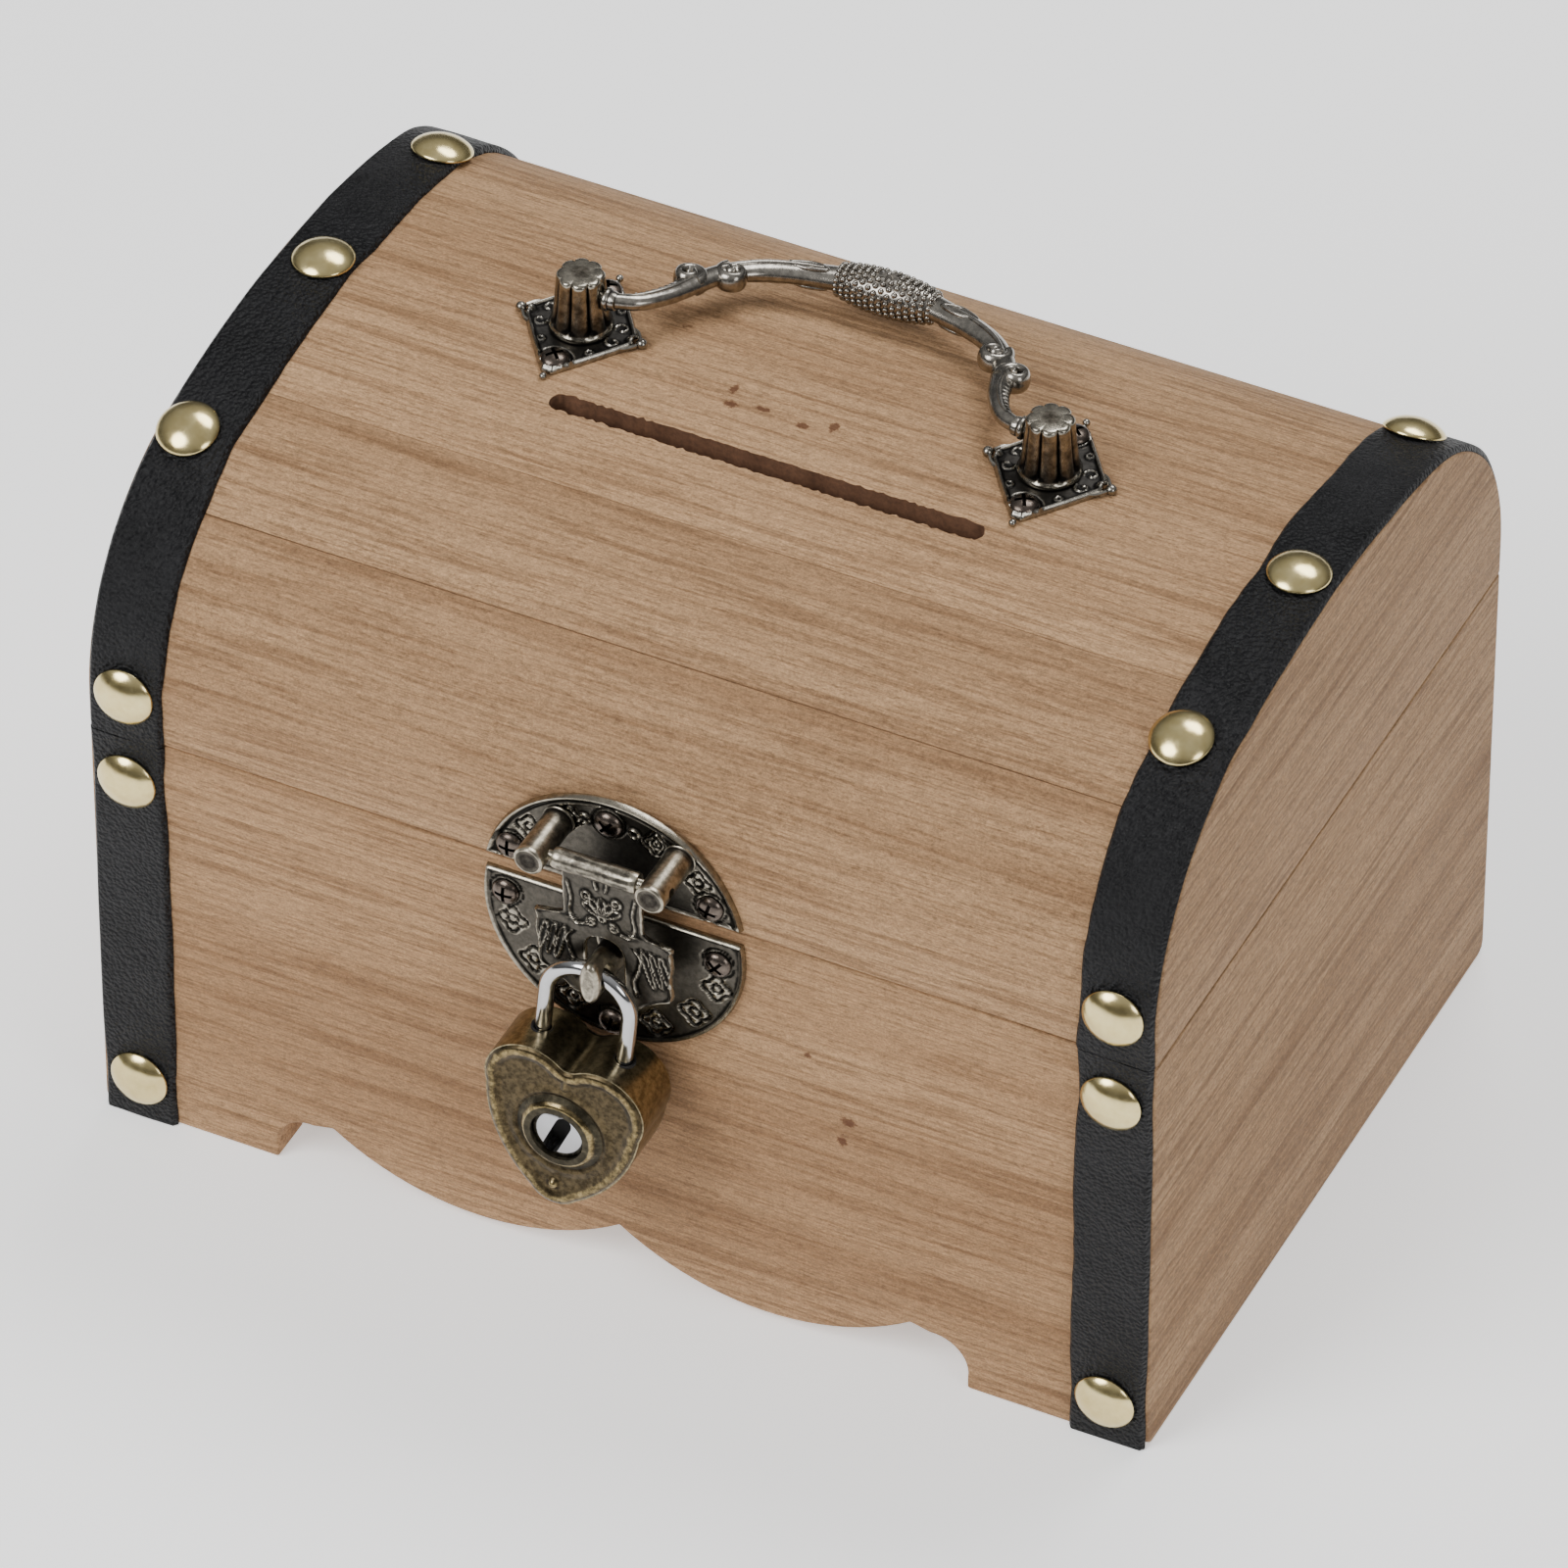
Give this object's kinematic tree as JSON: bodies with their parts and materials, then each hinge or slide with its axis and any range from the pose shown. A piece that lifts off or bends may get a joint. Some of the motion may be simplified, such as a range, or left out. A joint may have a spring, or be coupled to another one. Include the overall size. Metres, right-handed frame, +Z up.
{
  "type": "wooden money box",
  "caption": "Wooden money box shaped as a small chest: arched hinged lid with a coin slot and bail handle, leather straps with tacks, round hasp and heart padlock.",
  "frame": {"origin": "centre of the box's footprint, on the surface it stands on", "axes": "+X along the box to its right end, +Y to the back, +Z up; the hasp and padlock face -Y"},
  "size_m": [0.17, 0.1381, 0.1275],
  "materials": {
    "base_wood": "bare, faintly rough, grain along the boards",
    "lid_wood": "bare, faintly rough, a little darker than the base",
    "plywood": "bare plywood",
    "strap_leather": "black pebbled imitation leather, satin",
    "tack_brass": "polished pale brass",
    "hinge_brass": "plated brass, satin",
    "screw_bronze": "antique bronze plating",
    "hasp_bronze": "antique bronze plating, rubbed bright on the edges",
    "handle_pewter": "antique pewter plating, rubbed bright on the high places",
    "padlock_brass": "antique brass plating, rubbed bright on the edges",
    "lock_chrome": "polished",
    "lock_steel": "plain steel"
  },
  "bodies": {
    "base": {"base_front": "base_wood", "base_back": "base_wood", "base_end_left": "base_wood", "base_end_right": "base_wood", "base_floor": "plywood", "strap_base_front_left": "strap_leather", "strap_base_front_right": "strap_leather", "strap_base_back_left": "strap_leather", "strap_base_back_right": "strap_leather", "tacks_base": "tack_brass", "hasp_plate_lower": "hasp_bronze", "hasp_staple": "hasp_bronze", "hasp_screws_lower": "screw_bronze", "hinge_base_leaf_left": "hinge_brass", "hinge_base_leaf_right": "hinge_brass", "hinge_pins": "hinge_brass", "hinge_screws_base": "screw_bronze"},
    "lid": {"lid_front": "lid_wood", "lid_front_shoulder": "lid_wood", "lid_crown": "lid_wood", "lid_back_shoulder": "lid_wood", "lid_back": "lid_wood", "lid_end_left": "lid_wood", "lid_end_right": "lid_wood", "strap_lid_left": "strap_leather", "strap_lid_right": "strap_leather", "tacks_lid": "tack_brass", "hasp_plate_upper": "hasp_bronze", "hasp_lugs": "hasp_bronze", "hasp_pin": "hasp_bronze", "hasp_screws_upper": "screw_bronze", "handle_plate_left": "handle_pewter", "handle_plate_right": "handle_pewter", "handle_post_left": "handle_pewter", "handle_post_right": "handle_pewter", "handle_screws": "screw_bronze", "hinge_lid_leaf_left": "hinge_brass", "hinge_lid_leaf_right": "hinge_brass", "hinge_screws_lid": "screw_bronze"},
    "tongue": {"hasp_tongue": "hasp_bronze"},
    "bail": {"handle_bail": "handle_pewter"},
    "shackle": {"padlock_shackle": "lock_chrome"},
    "lock_case": {"padlock_case": "padlock_brass", "padlock_cover": "padlock_brass", "padlock_spring": "lock_steel"},
    "lock_plug": {"padlock_plug": "lock_chrome"},
    "lock_latch": {"padlock_latch": "lock_steel"}
  },
  "joints": [
    {"name": "lid_hinge", "type": "hinge", "parent": "base", "child": "lid", "pos_m": [0, 0.0617, 0.074], "axis": [-1, 0, 0], "range_deg": [0, 150]},
    {"name": "tongue_swing", "type": "hinge", "parent": "lid", "child": "tongue", "pos_m": [0.0012, -0.0682, 0.0855], "axis": [-1, 0, 0], "range_deg": [-4, 2]},
    {"name": "bail_swing", "type": "hinge", "parent": "lid", "child": "bail", "pos_m": [0, 0.0047, 0.124], "axis": [1, 0, 0], "range_deg": [0, 200]},
    {"name": "padlock_swing", "type": "hinge", "parent": "base", "child": "shackle", "pos_m": [0.0012, -0.0684, 0.0659], "axis": [-1, 0, 0], "range_deg": [0, 150]},
    {"name": "case_drop", "type": "slide", "parent": "shackle", "child": "lock_case", "axis": [-0.1045, 0, -0.9945], "range_m": [0, 0.005]},
    {"name": "plug_turn", "type": "hinge", "parent": "lock_case", "child": "lock_plug", "pos_m": [-0.00257, -0.0684, 0.03786], "axis": [0, 1, 0], "range_deg": [0, 90]},
    {"name": "latch_slide", "type": "slide", "parent": "lock_case", "child": "lock_latch", "axis": [-0.9945, 0, 0.1045], "range_m": [0, 0.0015], "deforming": ["padlock_spring"]}
  ],
  "couplings": [
    {"joint": "plug_turn", "follows": "case_drop", "rad_per_m": 314.15},
    {"joint": "latch_slide", "follows": "case_drop", "ratio": 0.3}
  ]
}
